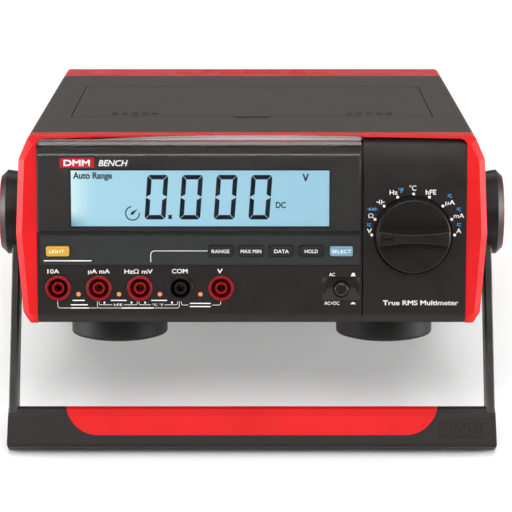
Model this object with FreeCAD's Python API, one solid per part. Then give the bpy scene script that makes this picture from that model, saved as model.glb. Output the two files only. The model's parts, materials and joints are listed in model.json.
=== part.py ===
"""Bench multimeter standing on its carrying handle, as an assembly of separate solids, one STEP per sub-part.

The meter is designed in its own case frame: X to the right as seen from the front, Y from the front panel
towards the back, Z up, with Z = 0 at the underside of the case and Y = 0 at the front panel, in millimetres.
At the end every sub-part is tilted nose up about X, the way the meter stands on its handle and its two rear
feet, and moved so that the origin lies on the table under the middle of the whole object.
"""
import FreeCAD
import Part
import math
import os

Vec = FreeCAD.Vector

# ---------------------------------------------------------------- driving dimensions
# case
CASE_H = 93.0            # height of the case without its feet
TOP_HALF_W = 109.0       # half width of the flat top
BASE_HALF_W = 109.2      # half width of the flat underside
SHOULDER = (114.0, 81.5)  # half width and height where the sloped shoulder meets the side
WAIST = (115.6, 44.8)    # half width and height at the widest line, where the two covers meet
KEEL = (112.6, 5.5)      # half width and height where the side starts to turn in towards the underside
WALL = 2.4
FRONT_SEAM_Y = 17.0      # front bezel to covers
REAR_SEAM_Y = 266.0      # covers to rear bezel
REAR_Y = 306.0           # back of the rear bezel
BUMPER_Y = 313.0         # back of the rubber bumpers

# front panel
PANEL_HALF_W = 105.2
SPLIT_X = 54.3           # seam between the display side and the selector side
PANEL_TOP_Z = 92.75      # top of the panel's opening at the middle
PANEL_TOP_DROP = 1.0     # how much lower its slightly bowed top is at the corners
STRAP = (6.5, 91.0)      # front and underside (y, z) of the strap that joins the cheeks over the panel
LENS_Z = 46.2            # lower edge of the clear display cover
LCD = (-88.5, 38.1, 48.3, 76.4)       # viewing area: x from, x to, z from, z to
STRIP = (-104.3, 53.4, 29.2, 44.5)    # sunken strip that holds the keys
KEY_Z = 36.5
KEY_W, KEY_H = 11.3, 4.9
KEY_X = {"key_light": -95.1, "key_range": -15.2, "key_maxmin": -0.35,
         "key_serial": 14.5, "key_hold": 29.25, "key_select": 44.0}
KEY_TRAVEL = 1.0
ACDC = (44.0, 17.7)      # centre of the AC / AC+DC push button
ACDC_R = 3.6
ACDC_TRAVEL = 2.5

# input jacks
JACK_Z = 18.1
JACK_X = {"jack_10a": -95.1, "jack_ma": -75.1, "jack_hz_ohm": -54.9, "jack_com": -35.0, "jack_v": -15.0}
PLUG_R = 2.0             # 4 mm plug
SOCKET_Y = 3.8           # how deep the brass socket starts
SLEEVE_R = 3.1           # insulated post around the socket
SHROUD_R = 4.8           # bore that takes a sheathed plug
JACK_BODY_R = 5.6
JACK_RIM_R = 6.2
JACK_DEPTH = 24.0

# range selector
KNOB = (79.1, 44.5)      # centre of the selector
KNOB_R = 18.2
KNOB_FACE_Y = -5.5
KNOB_BAR_Y = -12.6

# storage lid and bin
LID = (-92.6, 92.6, 78.6, 212.1)      # x from, x to, y from, y to
LID_T = 2.0
LID_GAP = 0.45
LID_FRONT_GAP = 1.0      # the seam in front of the lid is wider, to lift the lid by
LID_HINGE = (210.9, 91.4)             # y, z of the hinge line
BIN_FLOOR_Z = 66.0

# handle
HUB = (85.0, 42.5)       # y, z of the handle's pivot line
HANDLE_LEAN = 24.0       # degrees that the handle leans forward of straight down, in the case frame
HANDLE_REACH = 103.9     # pivot line to the inner face of the crossbar
ARM_IN_X, ARM_OUT_X = 119.1, 123.4
HUB_OUT_X = 129.0
HUB_BORE_R = 3.97
PIVOT_R = 3.9

# feet
FOOT_X, FRONT_FOOT_Y, REAR_FOOT_Y = 66.9, 42.3, 248.5
FOOT_R, FOOT_H = 24.2, 13.3

# rear connectors: x, z of each centre
INLET = (-68.0, 44.0)
SWITCH = (-28.0, 44.0)
SERIAL = (22.0, 44.0)
USB = (64.0, 44.0)
REAR_PANEL_Y = 296.0      # outer face of the rear panel

NODES = {}


# ---------------------------------------------------------------- shape helpers
def box(x0, x1, y0, y1, z0, z1):
    return Part.makeBox(x1 - x0, y1 - y0, z1 - z0, Vec(x0, y0, z0))


def rod_x(y, z, r, x0, x1):
    return Part.makeCylinder(r, x1 - x0, Vec(x0, y, z), Vec(1, 0, 0))


def rod_y(x, z, r, y0, y1):
    return Part.makeCylinder(r, y1 - y0, Vec(x, y0, z), Vec(0, 1, 0))


def rod_z(x, y, r, z0, z1):
    return Part.makeCylinder(r, z1 - z0, Vec(x, y, z0), Vec(0, 0, 1))


def tube_y(x, z, r_out, r_in, y0, y1):
    return rod_y(x, z, r_out, y0, y1).cut(rod_y(x, z, r_in, y0 - 1, y1 + 1))


def tube_z(x, y, r_out, r_in, z0, z1):
    return rod_z(x, y, r_out, z0, z1).cut(rod_z(x, y, r_in, z0 - 1, z1 + 1))


def tube_x(y, z, r_out, r_in, x0, x1):
    return rod_x(y, z, r_out, x0, x1).cut(rod_x(y, z, r_in, x0 - 1, x1 + 1))


def rounded_face(points, radii):
    """A flat face whose outline joins the points, each corner rounded to its radius (0 keeps it sharp)."""
    count = len(points)
    if not hasattr(radii, "__len__"):
        radii = [radii] * count
    starts, ends, middles = [], [], []
    for i, corner in enumerate(points):
        to_prev = (points[i - 1] - corner).normalize()
        to_next = (points[(i + 1) % count] - corner).normalize()
        half = to_prev.getAngle(to_next) / 2
        if radii[i] <= 0 or half > math.pi / 2 - 1e-3:
            starts.append(corner)
            ends.append(corner)
            middles.append(None)
            continue
        cut = radii[i] / math.tan(half)
        inward = (to_prev + to_next).normalize()
        starts.append(corner + to_prev * cut)
        ends.append(corner + to_next * cut)
        middles.append(corner + inward * (radii[i] / math.sin(half) - radii[i]))
    edges = []
    for i in range(count):
        if middles[i] is not None:
            edges.append(Part.Arc(starts[i], middles[i], ends[i]).toShape())
        following = starts[(i + 1) % count]
        if (following - ends[i]).Length > 1e-6:
            edges.append(Part.makeLine(ends[i], following))
    return Part.Face(Part.Wire(edges))


def extruded(points, radii, direction):
    """The rounded face swept along a direction, always right side out."""
    solid = rounded_face(points, radii).extrude(direction)
    return solid if solid.Volume > 0 else solid.reversed()


def prism_y(outline, radii, y0, y1):
    """Extrudes an outline of (x, z) points along Y."""
    return extruded([Vec(x, y0, z) for x, z in outline], radii, Vec(0, y1 - y0, 0))


def prism_x(outline, radii, x0, x1):
    """Extrudes an outline of (y, z) points along X."""
    return extruded([Vec(x0, y, z) for y, z in outline], radii, Vec(x1 - x0, 0, 0))


def prism_z(outline, radii, z0, z1):
    """Extrudes an outline of (x, y) points along Z."""
    return extruded([Vec(x, y, z0) for x, y in outline], radii, Vec(0, 0, z1 - z0))


def rectangle(a0, a1, b0, b1):
    return [(a0, b0), (a1, b0), (a1, b1), (a0, b1)]


def bent_sheet(path, radii, thickness, x0, x1):
    """An even sheet along X whose outer face follows a path of (y, z) points, with its material behind it."""
    inner = []
    for i, (y, z) in enumerate(path):
        normals = []
        for a, b in ((i - 1, i), (i, i + 1)):
            if a >= 0 and b < len(path):
                dy, dz = path[b][0] - path[a][0], path[b][1] - path[a][1]
                length = math.hypot(dy, dz)
                normals.append((dz / length, -dy / length))
        ny, nz = sum(n[0] for n in normals), sum(n[1] for n in normals)
        scale = thickness * len(normals) / (ny * ny + nz * nz) if len(normals) == 2 else thickness
        scale = scale if len(normals) == 1 else 2 * thickness / (ny * ny + nz * nz)
        inner.append((y + ny * scale, z + nz * scale))
    inner_radii = [max(r - thickness, 0.0) for r in radii]
    return prism_x(path + inner[::-1], list(radii) + inner_radii[::-1], x0, x1)


def turned(profile, origin, axis_out):
    """A solid of revolution: profile is (distance along the axis, radius) points, closed onto the axis."""
    direction = Vec(*axis_out)
    side = Vec(0, 0, 1)
    points = [Vec(*origin) + direction * a + side * r for a, r in profile]
    wire = Part.makePolygon(points + [points[0]])
    return Part.Face(wire).revolve(Vec(*origin), direction, 360)


def softened(shape, radius, picks, chamfer=False):
    """Rounds, or chamfers, the edges that picks accepts."""
    edges = [e for e in shape.Edges if picks(e)]
    return shape.makeChamfer(radius, edges) if chamfer else shape.makeFillet(radius, edges)


def edge_at(value, axis):
    """Picks edges that lie wholly at one X, Y or Z."""
    def picks(edge):
        return all(abs(getattr(v.Point, axis) - value) < 1e-4 for v in edge.Vertexes)
    return picks


def group(*shapes):
    """Several separate solids in one sub-part."""
    return Part.makeCompound([s for shape in shapes for s in shape.Solids])


def both_sides(shape):
    """A shape and its mirror image across the middle of the meter."""
    return [shape, shape.mirror(Vec(0, 0, 0), Vec(1, 0, 0))]


# ---------------------------------------------------------------- case
def case_outline(inset=0.0, low=None, high=None):
    """The cross-section of the case, or its part between two heights, set in by a wall."""
    half = [(TOP_HALF_W, CASE_H), SHOULDER, WAIST, KEEL, (BASE_HALF_W, 0.0)]
    half = [(x - inset, min(max(z, inset), CASE_H - inset)) for x, z in half]
    if low is not None:
        half = half[:2] + [(WAIST[0] - inset, low)]
    if high is not None:
        half = [(WAIST[0] - inset, high)] + half[3:]
    return half + [(-x, z) for x, z in half[::-1]]


def case_prism(y0, y1, inset=0.0, low=None, high=None):
    outline = case_outline(inset, low, high)
    if low is not None:
        radii = [2.5, 2.5, 0, 0, 2.5, 2.5]
    elif high is not None:
        radii = [0, 2, 2, 2, 2, 0]
    else:
        radii = [2.5, 2.5, 0, 2, 2, 2, 2, 0, 2.5, 2.5]
    return prism_y(outline, radii, y0, y1)


def case_wire(y, inset):
    outline = case_outline(inset)
    return rounded_face([Vec(x, y, z) for x, z in outline], [2.5, 2.5, 0, 2, 2, 2, 2, 0, 2.5, 2.5]).OuterWire


def case_end(y_tip, y_back, bevel):
    """A length of the case whose outer edge is bevelled at the tip."""
    y_full = y_tip + math.copysign(bevel, y_back - y_tip)
    tip = Part.makeLoft([case_wire(y_tip, bevel), case_wire(y_full, 0.0)], True, True)
    return tip.fuse(case_prism(min(y_full, y_back), max(y_full, y_back)))


def panel_window(grow, y0, y1, top=PANEL_TOP_Z):
    """The outline of the front panel as a block to trim with: top slightly bowed, top corners rounded."""
    half = PANEL_HALF_W + grow
    crown = [(x, top + grow - PANEL_TOP_DROP * (x / PANEL_HALF_W) ** 2) for x in (70, 35, 0, -35, -70)]
    corner_z = top + grow - PANEL_TOP_DROP
    outline = [(-half, -5), (half, -5), (half, corner_z)] + crown + [(-half, corner_z)]
    return prism_y(outline, [0, 0, 3.6 + grow] + [40] * 5 + [3.6 + grow], y0, y1)


def over_edge(grow):
    """Where the display cover runs out over the top edge of the case, up to a strap with a slightly curved edge."""
    outline = [(-86 - grow, -6), (SPLIT_X + grow, -6), (SPLIT_X + grow, 5.4 + grow), (20, 6.4 + grow),
               (-15, 6.4 + grow), (-50, 5.4 + grow), (-86 - grow, 2.6 + grow)]
    return prism_z(outline, [0, 0, 0, 300, 300, 200, 0], 89, 97)


def front_bezel():
    """Red frame of the front panel: two cheeks, joined over the panel's top edge by a strap."""
    front_y, cheek_wall = 0.4, 3.2
    ring = case_end(front_y, FRONT_SEAM_Y, 3.0)
    hollow = case_prism(front_y + cheek_wall, FRONT_SEAM_Y + 1, inset=WALL)
    hollow = hollow.cut(panel_window(1.2, 0, 20))
    ring = ring.cut(panel_window(0.0, -1, STRAP[0])).cut(panel_window(0.0, STRAP[0] - 1, 20, STRAP[1]))
    return ring.cut(over_edge(0.0)).cut(hollow)


def top_cover():
    """Upper shell with the lid's opening, the finger notch in front of it and four screw posts."""
    shell = case_prism(FRONT_SEAM_Y, REAR_SEAM_Y, low=WAIST[1])
    inner = case_prism(FRONT_SEAM_Y - 1, REAR_SEAM_Y + 1, inset=WALL, low=WAIST[1] - 1)
    shell = shell.cut(inner)
    cup = prism_z(rectangle(-12, 12, LID[2] - 8.2, LID[2] - 1.8), [5, 5, 0, 0], 85.6, CASE_H - 1)
    shell = shell.fuse(cup)
    notch = prism_z(rectangle(-10, 10, LID[2] - 6.0, LID[2] + 1.0), [5, 5, 0, 0], 87.2, CASE_H + 1)
    opening = box(LID[0] - LID_GAP, LID[1] + LID_GAP, LID[2] - LID_FRONT_GAP, LID[3] + 1.1, 80, CASE_H + 1)
    shell = shell.cut(notch).cut(opening)
    for x in (LID[0] - 4.0, LID[1] - 0.1):
        shell = shell.cut(rod_x(LID_HINGE[0], LID_HINGE[1], 0.95, x, x + 4.1))
    for x, y in CASE_SCREWS:
        shell = shell.fuse(rod_z(x, y, 3.6, WAIST[1] + 0.2, CASE_H - 1).cut(rod_z(x, y, 1.6, 40, 66)))
    return cut_pivot_holes(shell)


CASE_SCREWS = [(sx * 101.5, y) for sx in (-1, 1) for y in (36.0, 256.0)]
BATTERY = (-79.0, 79.0, 100.0, 158.0)      # opening in the underside: x from, x to, y from, y to
BATTERY_SCREW = (0.0, 92.0)


def cut_pivot_holes(shell):
    for x0, x1 in ((-120, -100), (100, 120)):
        shell = shell.cut(rod_x(HUB[0], HUB[1], 11.8, x0, x1))
    return shell


def bottom_cover():
    """Lower shell with the battery opening, four screw posts and a lip under the front panel."""
    shell = case_prism(FRONT_SEAM_Y, REAR_SEAM_Y, high=WAIST[1] - 0.2)
    inner = case_prism(FRONT_SEAM_Y - 1, REAR_SEAM_Y + 1, inset=WALL, high=WAIST[1] + 1)
    lip = box(-PANEL_HALF_W, PANEL_HALF_W, 5.2, FRONT_SEAM_Y + 1, 0, WALL)
    shell = shell.cut(inner).fuse(lip)
    shell = shell.cut(box(BATTERY[0], BATTERY[1], BATTERY[2], BATTERY[3], -1, 5))
    tab = battery_tab(0.3)
    shell = shell.cut(tab)
    for x, y in FEET:
        shell = shell.fuse(rod_z(x, y, 4.0, 0.5, 8.0)).cut(rod_z(x, y, 1.55, -1, 9))
    for x, y in CASE_SCREWS:
        shell = shell.fuse(rod_z(x, y, 4.4, 0.5, WAIST[1] - 0.4))
        shell = shell.cut(rod_z(x, y, 1.8, -1, 60)).cut(rod_z(x, y, 3.3, -1, 6))
    return cut_pivot_holes(shell)


def battery_tab(gap):
    """The tongue at the front of the battery door, through which its screw passes."""
    x, y = BATTERY_SCREW
    return box(x - 7 - gap, x + 7 + gap, y - 5 - gap, BATTERY[2] + 0.5, -gap, 2.2 + gap)


def rear_bezel():
    """Red frame at the back, with plain raised pads on its top."""
    ring = case_end(REAR_Y, REAR_SEAM_Y, 4.0)
    ring = ring.cut(case_prism(REAR_SEAM_Y - 1, REAR_PANEL_Y, inset=WALL))
    ring = ring.cut(rear_opening())
    for x, z in BUMPER_SEATS:
        ring = ring.cut(rod_y(x, z, 2.45, REAR_PANEL_Y + 0.5, REAR_Y + 1))
    pad_w, pad_gap, count = 10.0, 3.2, 7
    for i in range(count):
        x = (i - (count - 1) / 2) * (pad_w + pad_gap)
        pad = prism_z(rectangle(x - pad_w / 2, x + pad_w / 2, 281, 297), 1.5, CASE_H - 1, CASE_H + 0.25)
        inner = rectangle(x - pad_w / 2 + 1.3, x + pad_w / 2 - 1.3, 282.3, 295.7)
        hollow = prism_z(inner, 0.8, CASE_H, CASE_H + 2)
        ring = ring.fuse(pad.cut(hollow))
    return ring


def rear_opening():
    return prism_y(rectangle(-100, 100, 8, 85), 5, REAR_SEAM_Y, REAR_Y + 20)


BUMPER_SEATS = [(sx * 104.2, z) for sx in (-1, 1) for z in (6.5, 86.0)]


def rear_bumpers():
    """Four rubber corner bumpers, so that the meter can stand on its back."""
    bumpers = []
    for x, z in BUMPER_SEATS:
        xs = sorted((x + math.copysign(3.3, x), x - math.copysign(17, x)))
        zs = sorted((z + math.copysign(3.0, z - 40), z - math.copysign(17, z - 40)))
        block = prism_y(rectangle(*xs, *zs), 3.0, REAR_Y, BUMPER_Y).cut(rear_opening())
        block = softened(block, 0.8, edge_at(BUMPER_Y, "y"))
        bumpers.append(block.fuse(rod_y(x, z, 2.4, REAR_PANEL_Y + 1, REAR_Y + 1)))
    return group(*bumpers)


def rear_panel():
    """Plate that closes the back and carries the mains and data connectors."""
    plate = box(-104.5, 104.5, REAR_PANEL_Y - 2.4, REAR_PANEL_Y, 4.5, 88.5)
    for (x, z), w, h in ((INLET, 27.2, 20.2), (SWITCH, 21.2, 15.2), (SERIAL, 19.6, 11.2), (USB, 12.2, 11.0)):
        plate = plate.cut(box(x - w / 2, x + w / 2, 290, 310, z - h / 2, z + h / 2))
    for x, z in PANEL_SCREWS:
        plate = plate.cut(rod_y(x, z, 1.7, 290, 310))
    return plate


PANEL_SCREWS = [(sx * 92.0, z) for sx in (-1, 1) for z in (14.0, 79.0)]


FEET = [(sx * FOOT_X, y) for sx in (-1, 1) for y in (FRONT_FOOT_Y, REAR_FOOT_Y)]


# ---------------------------------------------------------------- front panel
# side view of the panel's outer face: it leans back more and more towards its top
ROLL = [(3.2, 0.7), (0.0, 4.2), (0.0, 72.0), (0.9, 82.0), (2.6, 89.0), (6.3, 92.8)]


def display_fascia():
    """Front panel of the display side: openings for the display, keys, push button and jacks."""
    path = [ROLL[0], ROLL[1], (0.0, LENS_Z - 0.2), (1.7, LENS_Z - 0.2), (1.7, 87.0), (3.2, 89.0), (6.3, 89.0)]
    fascia = bent_sheet(path, [0, 3.5, 0, 0, 1, 1, 0], WALL, -PANEL_HALF_W, SPLIT_X - 0.2)
    fascia = fascia.cut(box(STRIP[0], STRIP[1], -1, 0.5, STRIP[2], STRIP[3]))
    fascia = fascia.cut(box(LCD[0], LCD[1], -1, 6, LCD[2], LCD[3]))
    for x in KEY_X.values():
        fascia = fascia.cut(prism_y(key_outline(x, 0.3), 1.1, -1, 5))
    for x in JACK_X.values():
        fascia = fascia.cut(rod_y(x, JACK_Z, JACK_BODY_R + 0.05, -1, 5))
    ramp = prism_x([(-1, 23.5), (1.6, 23.5), (1.6, 18.0), (0, 12.0), (-1, 12.0)], 0, 30, 58)
    flare = prism_z([(33.3, -1), (54.8, -1), (50.8, 1.7), (37.4, 1.7)], 0, 10, 25)
    fascia = fascia.cut(ramp.common(flare)).cut(rod_y(ACDC[0], ACDC[1], ACDC_R + 0.35, -1, 5))
    fascia = fascia.common(panel_window(0.0, -5, STRAP[0] - 0.1))
    for x, z in FASCIA_POSTS:
        fascia = fascia.fuse(rod_y(x, z, 2.6, 2.0, 12.0).cut(rod_y(x, z, 0.9, 4, 13)))
    return fascia


FASCIA_POSTS = [(-99.5, 49.5), (-99.5, 78.0), (48.5, 49.5), (48.5, 78.0)]


def selector_fascia():
    """Front panel of the selector side, with the shallow round well of the knob and its bevelled edge."""
    fascia = bent_sheet(ROLL, [0, 3.5, 60, 45, 6, 0], WALL, SPLIT_X + 0.2, PANEL_HALF_W)
    fascia = fascia.cut(prism_z([(SPLIT_X, -0.1), (SPLIT_X + 0.9, -0.1), (SPLIT_X, 0.8)], 0, -5, 100))
    fascia = fascia.cut(rod_y(KNOB[0], KNOB[1], KNOB_R + 0.8, -1, 0.9))
    edge = Part.makeCone(KNOB_R + 1.7, KNOB_R + 0.8, 0.9, Vec(KNOB[0], -0.4, KNOB[1]), Vec(0, 1, 0))
    fascia = fascia.cut(edge)
    fascia = fascia.cut(rod_y(KNOB[0], KNOB[1], 3.7, -1, 5))
    fascia = fascia.common(panel_window(0.0, -5, STRAP[0] - 0.1))
    for x, z in ((60.0, 10.5), (99.5, 10.5), (60.0, 78.0), (99.5, 78.0)):
        fascia = fascia.fuse(rod_y(x, z, 2.6, 2.0, 14.4).cut(rod_y(x, z, 0.9, 5, 15)))
    return fascia


def display_lens():
    """Clear cover of the display: a shallow step near its top, two sloping bevels above it, bevelled ends."""
    x0, x1 = -PANEL_HALF_W + 0.2, SPLIT_X - 0.9
    path = [(-1.0, LENS_Z), (-1.0, 84.0), (-0.5, 84.5), (-0.5, 89.2), (1.0, 91.3), (6.3, 92.9)]
    lens = bent_sheet(path, [0] * 6, 1.9, x0, x1)
    for x, inward in ((x0, 1), (x1, -1)):
        corner = prism_z([(x, -1.1), (x + inward * 1.0, -1.1), (x, 0.2)], 0, 40, 88)
        lens = lens.cut(corner)
    return lens.common(panel_window(-0.2, -5, STRAP[0] - 0.1).fuse(over_edge(-0.1)))


def key_outline(x, grow=0.0):
    half_w, half_h = KEY_W / 2 + grow, KEY_H / 2 + grow
    return rectangle(x - half_w, x + half_w, KEY_Z - half_h, KEY_Z + half_h)


def key(x, height):
    """A key: cap, retaining flange behind the panel and a stem that presses the mat."""
    cap = prism_y(key_outline(x), 0.9, -height, 2.8)
    cap = softened(cap, 0.45, edge_at(-height, "y"))
    flange = box(x - KEY_W / 2 - 1, x + KEY_W / 2 + 1, 2.7, 3.9, KEY_Z - KEY_H / 2 - 1, KEY_Z + KEY_H / 2 + 1)
    return cap.fuse(flange).fuse(rod_y(x, KEY_Z, 1.8, 3.8, 8.0)).removeSplitter()


def keymat():
    """Rubber mat with a dome behind each key."""
    mat = box(-102.5, 52.0, 10.6, 12.0, 31.0, 42.0)
    for x in KEY_X.values():
        mat = mat.fuse(Part.makeCone(3.2, 2.2, 1.4, Vec(x, 10.7, KEY_Z), Vec(0, -1, 0)))
    return mat


def acdc_button():
    """Push button that latches in for AC+DC."""
    cap = softened(rod_y(ACDC[0], ACDC[1], ACDC_R, -2.6, 3.0), 1.5, edge_at(-2.6, "y"))
    return cap.fuse(rod_y(ACDC[0], ACDC[1], 5.2, 2.8, 4.0)).fuse(rod_y(ACDC[0], ACDC[1], 2.0, 3.9, 8.6))


def acdc_switch():
    body = box(ACDC[0] - 5.5, ACDC[0] + 5.5, 12.0, 25.0, ACDC[1] - 6, ACDC[1] + 6)
    return body.fuse(tube_y(ACDC[0], ACDC[1], 3.6, 2.3, 11.3, 12.0))


# ---------------------------------------------------------------- display and boards
def lcd_glass():
    return box(LCD[0] - 4.5, LCD[1] + 4.5, 4.3, 7.1, 44.6, 80.0)


def lcd_backlight():
    light = box(LCD[0] - 4.5, LCD[1] + 4.5, 7.1, 10.9, 45.2, 79.4)
    return light.fuse(box(LCD[0] - 6.2, LCD[0] - 4.5, 7.4, 10.5, 52.0, 72.0))


def lcd_frame():
    """Snap frame that holds the display glass and its light on the board."""
    frame = box(LCD[0] - 7.4, LCD[1] + 6.9, 4.4, 12.2, 42.2, 82.4)
    frame = frame.cut(box(LCD[0] - 4.6, LCD[1] + 4.6, 4.3, 12.3, 44.5, 80.1))
    return frame.cut(box(LCD[0] - 6.3, LCD[0] - 4.4, 7.3, 12.3, 51.9, 72.1))


def display_board():
    board = box(-103.0, 52.6, 12.2, 13.8, 30.0, 84.0)
    for x, z in FASCIA_POSTS:
        board = board.cut(rod_y(x, z, 1.0, 10, 16))
    return board.fuse(box(-60, -30, 13.8, 17.0, 58.0, 64.0))


def main_board():
    board = box(-100, 100, 32, 212, 53.0, 54.6)
    for x, y in CASE_SCREWS:
        board = board.cut(rod_z(x, y, 4.6, 40, 60))
    for x, y in BOARD_POSTS:
        board = board.cut(rod_z(x, y, 1.2, 40, 60))
    return board


BOARD_POSTS = [(sx * 90.0, y) for sx in (-1, 1) for y in (92.0, 190.0)]


def board_components():
    """The larger parts on the main board: relays, capacitors, chips and the header of the ribbon."""
    z = 54.6
    parts = [box(-80, -62, 70, 86, z, z + 6), box(-50, -32, 70, 86, z, z + 6), box(-8, 12, 90, 110, z, z + 2.6),
             box(30, 44, 120, 134, z, z + 2.6), box(-60, -30, 34, 40, z, z + 6.5), box(60, 86, 150, 158, z, z + 7)]
    parts += [rod_z(x, y, 4.5, z, z + 9.5) for x, y in ((60, 178), (75, 178), (60, 194), (-70, 180), (-70, 196))]
    return group(*parts)


def ribbon_cable():
    """Flat cable from the display board's header to the main board's header."""
    path = [(17.0, 59.0), (24.0, 59.0), (28.0, 64.5), (37.0, 64.5), (37.0, 61.1)]
    return bent_sheet(path, [0, 3, 3, 2, 0], 0.9, -56, -34)


def fuses():
    """Two cartridge fuses, each with its metal ends in clips on the main board."""
    parts = []
    for x, length in ((-96.0, 20.0), (-84.0, 20.0)):
        y = 44.0
        glass = rod_y(x, 58.6, 2.5, y, y + length)
        parts.append(glass)
        for y0 in (y - 0.1, y + length - 5.9):
            parts.append(tube_y(x, 58.6, 3.0, 2.5, y0 + 0.5, y0 + 5.5))
            parts.append(box(x - 2.0, x + 2.0, y0 + 1, y0 + 5, 54.6, 55.6))
    return group(*parts)


# ---------------------------------------------------------------- selector
def selector_knob():
    """Round knob with a waisted grip bar across it; the bar's left end carries the pointer groove."""
    x, z = KNOB
    disc = softened(rod_y(x, z, KNOB_R, KNOB_FACE_Y, 0.5), 0.8, edge_at(KNOB_FACE_Y, "y"))
    bar = Part.makeCone(17.7, 17.2, KNOB_FACE_Y - KNOB_BAR_Y + 1, Vec(x, KNOB_FACE_Y + 1, z), Vec(0, -1, 0))
    waist_r, half_waist, draft = 92.0, 2.1, 1.3
    for side in (-1, 1):
        centre = Vec(x, KNOB_FACE_Y + 1, z + side * (waist_r + half_waist))
        scoop = Part.makeCone(waist_r - draft, waist_r, KNOB_FACE_Y - KNOB_BAR_Y + 1.01, centre, Vec(0, -1, 0))
        bar = bar.cut(scoop)
    bar = softened(bar, 0.6, edge_at(KNOB_BAR_Y, "y"))
    bar = bar.cut(box(x - 17, x - 10.5, KNOB_BAR_Y - 1, KNOB_BAR_Y + 0.5, z - 0.45, z + 0.45))
    knob = disc.fuse(bar)
    return knob.cut(rod_y(x, z, 3.0, -4.5, 1))


def selector_shaft():
    return rod_y(KNOB[0], KNOB[1], 3.0, -4.4, 18.5)


def selector_rotor():
    """Switch rotor with its three wiper arms, close in front of the contact board."""
    x, z = KNOB
    rotor = tube_y(x, z, 14.5, 3.0, 10.0, 12.4)
    for angle in (90, 210, 330):
        a = math.radians(angle)
        rotor = rotor.fuse(rod_y(x + 10.5 * math.cos(a), z + 10.5 * math.sin(a), 1.6, 12.3, 14.2))
    return rotor


def selector_board():
    board = box(SPLIT_X + 2, 103.5, 14.5, 16.1, 7.5, 82.0)
    return board.cut(rod_y(KNOB[0], KNOB[1], 3.6, 10, 20))


# ---------------------------------------------------------------- jacks
def jack_shell(x):
    """Outer shroud of an input jack: a rim on the panel and a long tube behind it."""
    shroud = tube_y(x, JACK_Z, JACK_BODY_R, SHROUD_R, -0.1, JACK_DEPTH)
    rim = softened(rod_y(x, JACK_Z, JACK_RIM_R, -1.1, 0.0), 0.4, edge_at(-1.1, "y"))
    return shroud.fuse(rim.cut(rod_y(x, JACK_Z, SHROUD_R, -2, 1)))


def jack_sleeve(x):
    """Insulated post in the middle of a jack, on the disc that closes the shroud; its mouth is the plug's bore."""
    sleeve = tube_y(x, JACK_Z, SLEEVE_R, PLUG_R, -0.4, JACK_DEPTH)
    sleeve = sleeve.fuse(tube_y(x, JACK_Z, SHROUD_R, PLUG_R, JACK_DEPTH - 4, JACK_DEPTH))
    return sleeve.cut(rod_y(x, JACK_Z, PLUG_R + 0.6, SOCKET_Y, JACK_DEPTH + 1))


def jack_socket(x):
    """Brass socket for a 4 mm plug, with a solder tail."""
    socket = tube_y(x, JACK_Z, PLUG_R + 0.6, PLUG_R, SOCKET_Y, JACK_DEPTH)
    return socket.fuse(rod_y(x, JACK_Z, PLUG_R + 0.6, JACK_DEPTH - 1, JACK_DEPTH + 1.2)).fuse(
        rod_y(x, JACK_Z, 1.2, JACK_DEPTH + 1, JACK_DEPTH + 5))


def jack_board():
    board = box(-103.5, -6.0, JACK_DEPTH + 1.3, JACK_DEPTH + 2.9, 8.0, 29.0)
    for x in JACK_X.values():
        board = board.cut(rod_y(x, JACK_Z, 1.25, 20, 40))
    return board


# ---------------------------------------------------------------- storage
def storage_lid():
    """Lid of the storage bin: pins at its rear corners, rows of slanting grooves near its front edge."""
    lid = prism_z(rectangle(*LID), 0.8, CASE_H - LID_T, CASE_H)
    for x in (LID[0] - 2.6, LID[1] - 4):
        lid = lid.fuse(rod_x(LID_HINGE[0], LID_HINGE[1], 0.9, x, x + 6.6))
    lid = lid.cut(box(-9, 9, LID[2] - 1, LID[2] + 3.2, CASE_H - LID_T - 1, CASE_H - 0.8))
    for middle in (-60.5, 60.5):
        for i in range(10):
            x, y = middle + 5.2 * (i % 5 - 2), 85.0 + 6.0 * (i // 5)
            mark = [(x - 2.4, y), (x + 1.2, y), (x + 2.4, y + 2.8), (x - 1.2, y + 2.8)]
            lid = lid.cut(prism_z(mark, 0, CASE_H - 0.8, CASE_H + 1))
    return lid


def storage_bin():
    """Open tray under the lid, hung from the top cover by its flange."""
    wall = 1.6
    outer = prism_z(rectangle(-91, 91, 81, 208), 4, BIN_FLOOR_Z, 90.5)
    inner = prism_z(rectangle(-91 + wall, 91 - wall, 81 + wall, 208 - wall), 3, BIN_FLOOR_Z + wall, 95)
    flange = box(-96, 96, 74.6, 216.5, 88.4, CASE_H - WALL)
    flange = flange.cut(box(-90.4, 90.4, 81.6, 207.4, 80, 95))
    flange = flange.cut(box(-12.4, 12.4, 60, 83, 80, 95))
    flange = flange.cut(box(-100, 100, 208.6, 214.2, 80, 95))
    ears = box(-96, 96, 208.6, 214.2, 88.4, 89.2)
    return outer.cut(inner).fuse(flange).fuse(ears)


# ---------------------------------------------------------------- power
def battery_box():
    """Cradle for six C cells, open below."""
    x0, x1, y0, y1 = BATTERY
    shell = box(x0 - 1.8, x1 + 1.8, y0 - 1.8, y1 + 1.8, WALL, 34.0)
    shell = shell.cut(box(x0, x1, y0, y1, WALL - 1, 32.0))
    x, y = BATTERY_SCREW
    return shell.fuse(box(x - 9, x + 9, y - 7, y0 - 1.7, 2.5, 10)).cut(rod_z(x, y, 1.5, 0, 12))


def battery_cells():
    """Six C cells in two rows, each with its positive cap."""
    cells = []
    for row_y in (BATTERY[2] + 15.0, BATTERY[3] - 15.0):
        for i in range(3):
            x0 = BATTERY[0] + 3.0 + i * 50.8
            cell = rod_x(row_y, 17.0, 13.1, x0, x0 + 48.8).fuse(rod_x(row_y, 17.0, 3.5, x0 + 48.7, x0 + 50.4))
            cells.append(cell)
    return group(*cells)


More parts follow.
